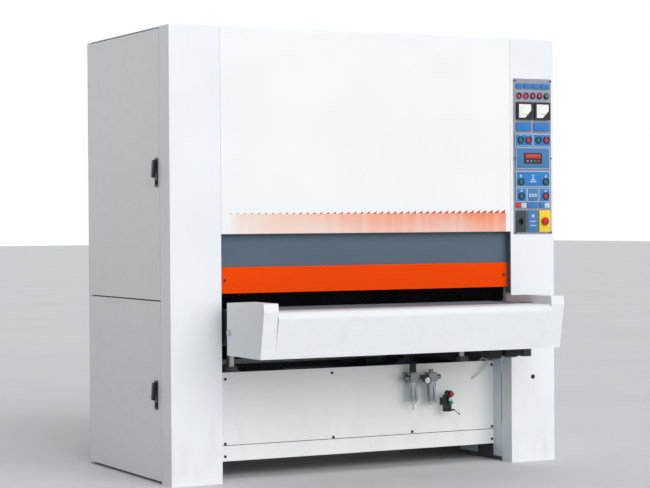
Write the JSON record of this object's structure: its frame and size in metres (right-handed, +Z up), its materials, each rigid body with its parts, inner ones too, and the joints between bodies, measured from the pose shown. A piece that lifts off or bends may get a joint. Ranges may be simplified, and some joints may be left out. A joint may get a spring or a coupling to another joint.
{
  "type": "wide belt sander",
  "caption": "Free-standing wide belt sander: two sanding belts in a closed housing over a rising feed table, side doors, control panel and air service unit.",
  "frame": {"origin": "on the floor, at the centre of the pattern of anchor holes in the foot plates", "axes": "+X to the right as seen from the infeed side, +Y along the feed, +Z up"},
  "size_m": [2.055, 1.916, 2.05],
  "materials": {
    "frame_paint": "satin dark grey paint",
    "casing_white": "semi-gloss white powder coat",
    "side_grey": "semi-gloss light grey powder coat",
    "slate_paint": "satin slate paint",
    "guard_orange": "satin orange paint",
    "panel_white": "semi-gloss off-white powder coat",
    "machined_steel": "ground and turned",
    "grey_cast": "painted casting",
    "graphite": "graphite cloth over felt on a steel beam",
    "contact_rubber": "ground rubber",
    "abrasive": "coated abrasive cloth",
    "motor_paint": "blue-grey paint over cast fins",
    "belt_rubber": "matt black rubber",
    "feed_rubber": "rough topped rubber",
    "panel_grey": "satin light grey with coloured fields",
    "lamp_plastic": "clear coloured lens",
    "meter_plastic": "black housing with a clear window",
    "display_plastic": "black housing with a red window",
    "air_metal": "die cast, with clear bowls",
    "valve_black": "black anodised body",
    "hose_plastic": "flexible tube",
    "roller_steel": "ground face",
    "pressure_rubber": "rubber on a steel core",
    "handle_black": "textured black with a grey lock",
    "button_green": "glossy green",
    "button_red": "glossy red",
    "knob_black": "matt black"
  },
  "bodies": {
    "frame": {"base_frame": "frame_paint", "side_frames": "slate_paint", "corner_casings": "casing_white", "front_hood": "casing_white", "guard_frame": "slate_paint", "guard_panel": "guard_orange", "base_panels": "panel_white", "rear_hood": "casing_white", "right_side_covers": "side_grey", "head_beams": "slate_paint", "platen": "graphite", "roller_bearings": "grey_cast", "sanding_belts": "abrasive", "main_motors": "motor_paint", "drive_belts": "belt_rubber", "control_panel": "panel_grey", "pilot_lights": "lamp_plastic", "ammeters": "meter_plastic", "display_unit": "display_plastic", "air_service_unit": "air_metal", "hand_valve": "valve_black", "air_hoses": "hose_plastic", "lift_jacks": "grey_cast"},
    "table": {"table_bed": "frame_paint", "infeed_cover": "casing_white", "outfeed_cover": "casing_white", "feed_belt": "feed_rubber", "drum_bearings": "grey_cast", "feed_gear_motor": "motor_paint", "lift_screws": "machined_steel"},
    "infeed_drum": {"infeed_drum": "roller_steel"},
    "drive_drum": {"drive_drum": "roller_steel"},
    "contact_roller_1": {"contact_roller_1": "contact_rubber"},
    "contact_roller_2": {"contact_roller_2": "contact_rubber"},
    "tension_yoke_1": {"tension_yoke_1": "slate_paint"},
    "tension_yoke_2": {"tension_yoke_2": "slate_paint"},
    "tension_roller_1": {"tension_roller_1": "roller_steel"},
    "tension_roller_2": {"tension_roller_2": "roller_steel"},
    "motor_pulley_1": {"motor_pulley_1": "machined_steel"},
    "motor_pulley_2": {"motor_pulley_2": "machined_steel"},
    "front_pressure_roller": {"front_pressure_roller": "pressure_rubber"},
    "rear_pressure_roller": {"rear_pressure_roller": "pressure_rubber"},
    "front_lift_shaft": {"front_lift_shaft": "machined_steel"},
    "rear_lift_shaft": {"rear_lift_shaft": "machined_steel"},
    "upper_door": {"upper_door": "side_grey"},
    "lower_door": {"lower_door": "side_grey"},
    "upper_door_handle": {"upper_door_handle": "handle_black"},
    "lower_door_handle": {"lower_door_handle": "handle_black"},
    "head_1_start_button": {"head_1_start_button": "button_green"},
    "head_1_stop_button": {"head_1_stop_button": "button_red"},
    "head_2_start_button": {"head_2_start_button": "button_green"},
    "head_2_stop_button": {"head_2_stop_button": "button_red"},
    "table_up_button": {"table_up_button": "button_green"},
    "table_down_button": {"table_down_button": "button_green"},
    "feed_start_button": {"feed_start_button": "button_green"},
    "feed_stop_button": {"feed_stop_button": "button_red"},
    "emergency_stop": {"emergency_stop": "button_red"},
    "selector_switch": {"selector_switch": "knob_black"},
    "regulator_knob": {"regulator_knob": "knob_black"},
    "valve_button": {"valve_button": "button_red"}
  },
  "joints": [
    {"name": "table_lift", "type": "slide", "parent": "frame", "child": "table", "axis": [0, 0, 1], "range_m": [-0.09, 0.062]},
    {"name": "infeed_drum_spin", "type": "hinge", "parent": "table", "child": "infeed_drum", "pos_m": [0, -0.735, 0.7207], "axis": [1, 0, 0], "continuous": true},
    {"name": "drive_drum_spin", "type": "hinge", "parent": "table", "child": "drive_drum", "pos_m": [0, 0.735, 0.7207], "axis": [1, 0, 0], "continuous": true},
    {"name": "contact_roller_1_spin", "type": "hinge", "parent": "frame", "child": "contact_roller_1", "pos_m": [0, -0.2, 0.9715], "axis": [1, 0, 0], "continuous": true},
    {"name": "contact_roller_2_spin", "type": "hinge", "parent": "frame", "child": "contact_roller_2", "pos_m": [0, 0.15, 0.9515], "axis": [1, 0, 0], "continuous": true},
    {"name": "tension_1_stroke", "type": "slide", "parent": "frame", "child": "tension_yoke_1", "axis": [0, 0, 1], "range_m": [-0.03, 0]},
    {"name": "tension_2_stroke", "type": "slide", "parent": "frame", "child": "tension_yoke_2", "axis": [0, 0, 1], "range_m": [-0.03, 0]},
    {"name": "tension_roller_1_spin", "type": "hinge", "parent": "tension_yoke_1", "child": "tension_roller_1", "pos_m": [0, -0.2, 1.75], "axis": [1, 0, 0], "continuous": true},
    {"name": "tension_roller_2_spin", "type": "hinge", "parent": "tension_yoke_2", "child": "tension_roller_2", "pos_m": [0, 0.2, 1.75], "axis": [1, 0, 0], "continuous": true},
    {"name": "motor_1_spin", "type": "hinge", "parent": "frame", "child": "motor_pulley_1", "pos_m": [0.8, -0.105, 0.282], "axis": [1, 0, 0], "continuous": true},
    {"name": "motor_2_spin", "type": "hinge", "parent": "frame", "child": "motor_pulley_2", "pos_m": [0.8, 0.19, 0.282], "axis": [1, 0, 0], "continuous": true},
    {"name": "front_pressure_spin", "type": "hinge", "parent": "frame", "child": "front_pressure_roller", "pos_m": [0, -0.3997, 0.884], "axis": [1, 0, 0], "continuous": true},
    {"name": "rear_pressure_spin", "type": "hinge", "parent": "frame", "child": "rear_pressure_roller", "pos_m": [0, 0.3947, 0.884], "axis": [1, 0, 0], "continuous": true},
    {"name": "front_lift_shaft_spin", "type": "hinge", "parent": "frame", "child": "front_lift_shaft", "pos_m": [0, -0.241, 0.412], "axis": [1, 0, 0], "range_deg": [-32500, 22500]},
    {"name": "rear_lift_shaft_spin", "type": "hinge", "parent": "frame", "child": "rear_lift_shaft", "pos_m": [0, 0.417, 0.412], "axis": [1, 0, 0], "range_deg": [-32500, 22500]},
    {"name": "upper_door_hinge", "type": "hinge", "parent": "frame", "child": "upper_door", "pos_m": [-1.003, 0.48, 1.4], "axis": [0, 0, -1], "range_deg": [0, 120]},
    {"name": "lower_door_hinge", "type": "hinge", "parent": "frame", "child": "lower_door", "pos_m": [-1.003, 0.48, 0.4], "axis": [0, 0, -1], "range_deg": [0, 120]},
    {"name": "upper_handle_turn", "type": "hinge", "parent": "upper_door", "child": "upper_door_handle", "pos_m": [-1.02, -0.363, 1.443], "axis": [1, 0, 0], "range_deg": [0, 90]},
    {"name": "lower_handle_turn", "type": "hinge", "parent": "lower_door", "child": "lower_door_handle", "pos_m": [-1.02, -0.344, 0.443], "axis": [1, 0, 0], "range_deg": [0, 90]},
    {"name": "selector_turn", "type": "hinge", "parent": "frame", "child": "selector_switch", "pos_m": [0.823, -0.52, 1.168], "axis": [0, 1, 0], "range_deg": [-45, 45]},
    {"name": "regulator_turn", "type": "hinge", "parent": "frame", "child": "regulator_knob", "pos_m": [0.281, -0.4, 0.47], "axis": [0, 0, 1], "range_deg": [-720, 720]},
    {"name": "valve_push", "type": "slide", "parent": "frame", "child": "valve_button", "axis": [0, 1, 0], "range_m": [0, 0.005], "stiffness_N_per_m": 600, "springref_m": -0.005},
    {"name": "emergency_push", "type": "slide", "parent": "frame", "child": "emergency_stop", "axis": [0, 1, 0], "range_m": [0, 0.004], "stiffness_N_per_m": 800, "springref_m": -0.004},
    {"name": "head_1_start_push", "type": "slide", "parent": "frame", "child": "head_1_start_button", "axis": [0, 1, 0], "range_m": [0, 0.004], "stiffness_N_per_m": 500, "springref_m": -0.004},
    {"name": "head_1_stop_push", "type": "slide", "parent": "frame", "child": "head_1_stop_button", "axis": [0, 1, 0], "range_m": [0, 0.004], "stiffness_N_per_m": 500, "springref_m": -0.004},
    {"name": "head_2_start_push", "type": "slide", "parent": "frame", "child": "head_2_start_button", "axis": [0, 1, 0], "range_m": [0, 0.004], "stiffness_N_per_m": 500, "springref_m": -0.004},
    {"name": "head_2_stop_push", "type": "slide", "parent": "frame", "child": "head_2_stop_button", "axis": [0, 1, 0], "range_m": [0, 0.004], "stiffness_N_per_m": 500, "springref_m": -0.004},
    {"name": "table_up_push", "type": "slide", "parent": "frame", "child": "table_up_button", "axis": [0, 1, 0], "range_m": [0, 0.004], "stiffness_N_per_m": 500, "springref_m": -0.004},
    {"name": "table_down_push", "type": "slide", "parent": "frame", "child": "table_down_button", "axis": [0, 1, 0], "range_m": [0, 0.004], "stiffness_N_per_m": 500, "springref_m": -0.004},
    {"name": "feed_start_push", "type": "slide", "parent": "frame", "child": "feed_start_button", "axis": [0, 1, 0], "range_m": [0, 0.004], "stiffness_N_per_m": 500, "springref_m": -0.004},
    {"name": "feed_stop_push", "type": "slide", "parent": "frame", "child": "feed_stop_button", "axis": [0, 1, 0], "range_m": [0, 0.004], "stiffness_N_per_m": 500, "springref_m": -0.004}
  ],
  "couplings": [
    {"joint": "infeed_drum_spin", "follows": "drive_drum_spin", "ratio": 1},
    {"joint": "tension_roller_1_spin", "follows": "contact_roller_1_spin", "ratio": 1.5},
    {"joint": "motor_1_spin", "follows": "contact_roller_1_spin", "ratio": 0.82353},
    {"joint": "tension_roller_2_spin", "follows": "contact_roller_2_spin", "ratio": 1.25},
    {"joint": "motor_2_spin", "follows": "contact_roller_2_spin", "ratio": 0.82353},
    {"joint": "front_lift_shaft_spin", "follows": "table_lift", "rad_per_m": 6283.2},
    {"joint": "rear_lift_shaft_spin", "follows": "table_lift", "rad_per_m": 6283.2}
  ]
}
